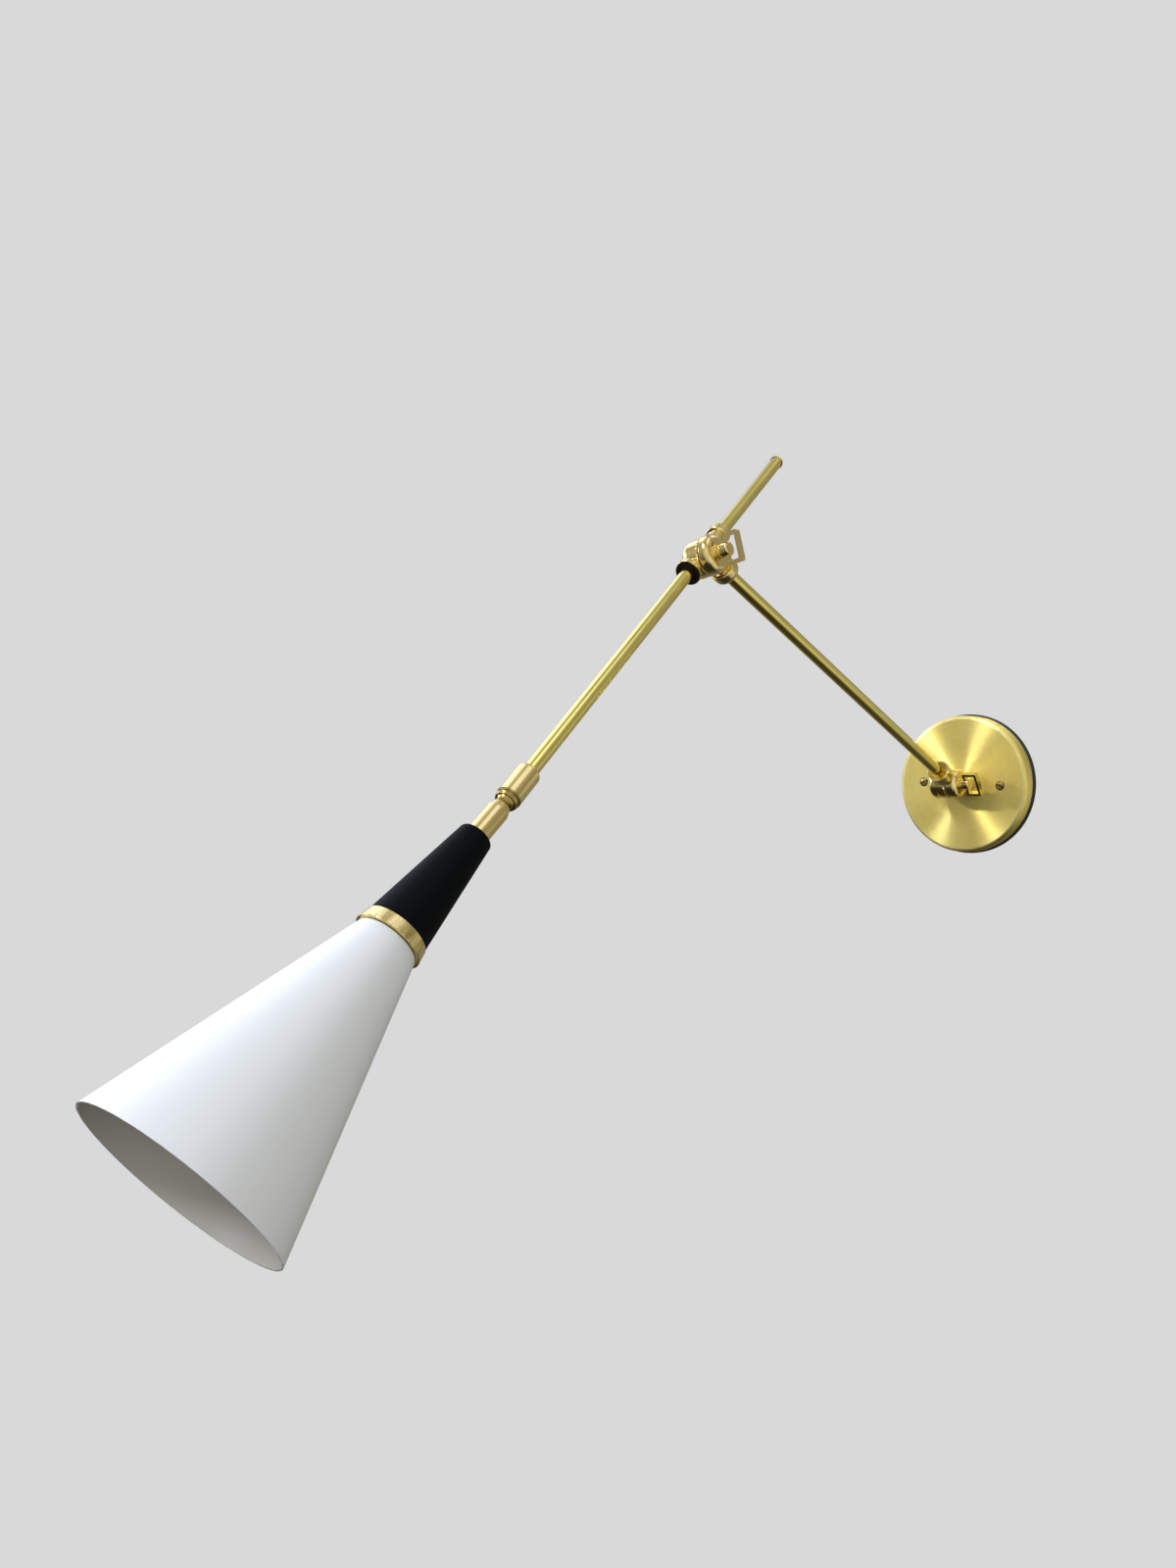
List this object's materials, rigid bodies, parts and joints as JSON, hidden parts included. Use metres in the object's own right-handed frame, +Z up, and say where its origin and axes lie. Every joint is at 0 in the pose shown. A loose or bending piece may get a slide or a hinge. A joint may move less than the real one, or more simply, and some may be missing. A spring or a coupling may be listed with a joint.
{
  "type": "articulating wall lamp",
  "caption": "Wall lamp with a round plate, a brass arm on a clamp swivel, a second arm sliding through a clamp elbow, and a cone shade on a ball swivel.",
  "frame": {"origin": "centre of the wall face, where the back of the gasket meets the wall", "axes": "+Y into the wall, -Y out into the room, +Z up, +X to the right as seen from the room"},
  "size_m": [0.1805, 0.8158, 0.4689],
  "materials": {
    "plate_brass": "satin",
    "satin_brass": "satin",
    "tube_brass": "satin",
    "ring_brass": "brushed",
    "dark_brass": "satin",
    "black_paint": "matte",
    "white_paint": "matte",
    "black_rubber": "matte",
    "zinc_steel": "satin",
    "nickel_shell": "satin",
    "dark_fibre": "matte",
    "black_plastic": "matte",
    "white_plastic": "matte"
  },
  "bodies": {
    "wall_plate": {"wall_plate": "plate_brass", "wall_gasket": "black_rubber", "swivel_bush": "satin_brass", "bush_nut": "zinc_steel", "terminal_block": "white_plastic", "terminal_screws": "zinc_steel", "earth_screw": "satin_brass"},
    "wall_swivel": {"wall_knuckle_disc": "satin_brass", "swivel_washer": "zinc_steel", "swivel_nut": "zinc_steel", "wall_friction_washer": "dark_fibre"},
    "wall_key": {"wall_key_screw": "satin_brass", "wall_key_washer": "satin_brass", "wall_key_loop": "satin_brass"},
    "arm1": {"wall_knuckle_drum": "satin_brass", "arm1_wall_collar": "satin_brass", "arm1_tube": "tube_brass", "arm1_elbow_collar": "satin_brass", "elbow_knuckle_disc": "satin_brass", "elbow_friction_washer": "dark_fibre"},
    "elbow_key": {"elbow_key_screw": "satin_brass", "elbow_key_washer": "satin_brass", "elbow_key_loop": "satin_brass"},
    "elbow_sleeve": {"elbow_knuckle_hub": "satin_brass", "sleeve_lower_collar": "satin_brass", "sleeve_upper_collar": "satin_brass", "sleeve_liners": "dark_fibre", "clamp_pad": "dark_fibre"},
    "arm2": {"arm2_tube": "tube_brass", "arm2_tail_plug": "satin_brass", "swivel_coupler": "satin_brass"},
    "ball_retainer": {"ball_retainer": "dark_brass"},
    "ball_stud": {"ball_stud": "satin_brass", "stud_clip": "zinc_steel"},
    "head": {"head_stem": "satin_brass", "neck_cone": "black_paint", "stem_nut": "zinc_steel", "holder_nipple": "zinc_steel", "neck_ring": "ring_brass", "shade": "white_paint", "shade_nut": "black_plastic", "lampholder_body": "black_plastic", "lampholder_shell": "nickel_shell", "centre_contact": "satin_brass"}
  },
  "joints": [
    {"name": "base_swivel", "type": "hinge", "parent": "wall_plate", "child": "wall_swivel", "pos_m": [0, -0.016, 0], "axis": [0, -1, 0], "range_deg": [-165, 165]},
    {"name": "wall_tilt", "type": "hinge", "parent": "wall_swivel", "child": "arm1", "pos_m": [0, -0.032, 0], "axis": [0.9992, 0, 0.0408], "range_deg": [-45, 60]},
    {"name": "elbow", "type": "hinge", "parent": "arm1", "child": "elbow_sleeve", "pos_m": [-0.00661, -0.3676, 0.16174], "axis": [0.9714, 0.0874, 0.221], "range_deg": [-12, 60]},
    {"name": "arm_slide", "type": "slide", "parent": "elbow_sleeve", "child": "arm2", "axis": [-0.2039, 0.784, 0.5863], "range_m": [-0.12, 0.225]},
    {"name": "head_pan", "type": "hinge", "parent": "arm2", "child": "ball_retainer", "pos_m": [0.04093, -0.58558, -0.00269], "axis": [0.2039, -0.784, -0.5863], "range_deg": [-170, 170]},
    {"name": "head_tilt", "type": "hinge", "parent": "ball_retainer", "child": "ball_stud", "pos_m": [0.04093, -0.58558, -0.00269], "axis": [0.3852, 0.6148, -0.6882], "range_deg": [-40, 25]},
    {"name": "head_spin", "type": "hinge", "parent": "ball_stud", "child": "head", "pos_m": [0.0421, -0.59706, -0.01228], "axis": [0.0782, -0.7649, -0.6394], "range_deg": [-170, 170]},
    {"name": "wall_key_turn", "type": "hinge", "parent": "wall_swivel", "child": "wall_key", "pos_m": [0, -0.032, 0], "axis": [0.9992, 0, 0.0408], "range_deg": [0, 360]},
    {"name": "elbow_key_turn", "type": "hinge", "parent": "arm1", "child": "elbow_key", "pos_m": [-0.00661, -0.3676, 0.16174], "axis": [0.9714, 0.0874, 0.221], "range_deg": [0, 360]}
  ]
}
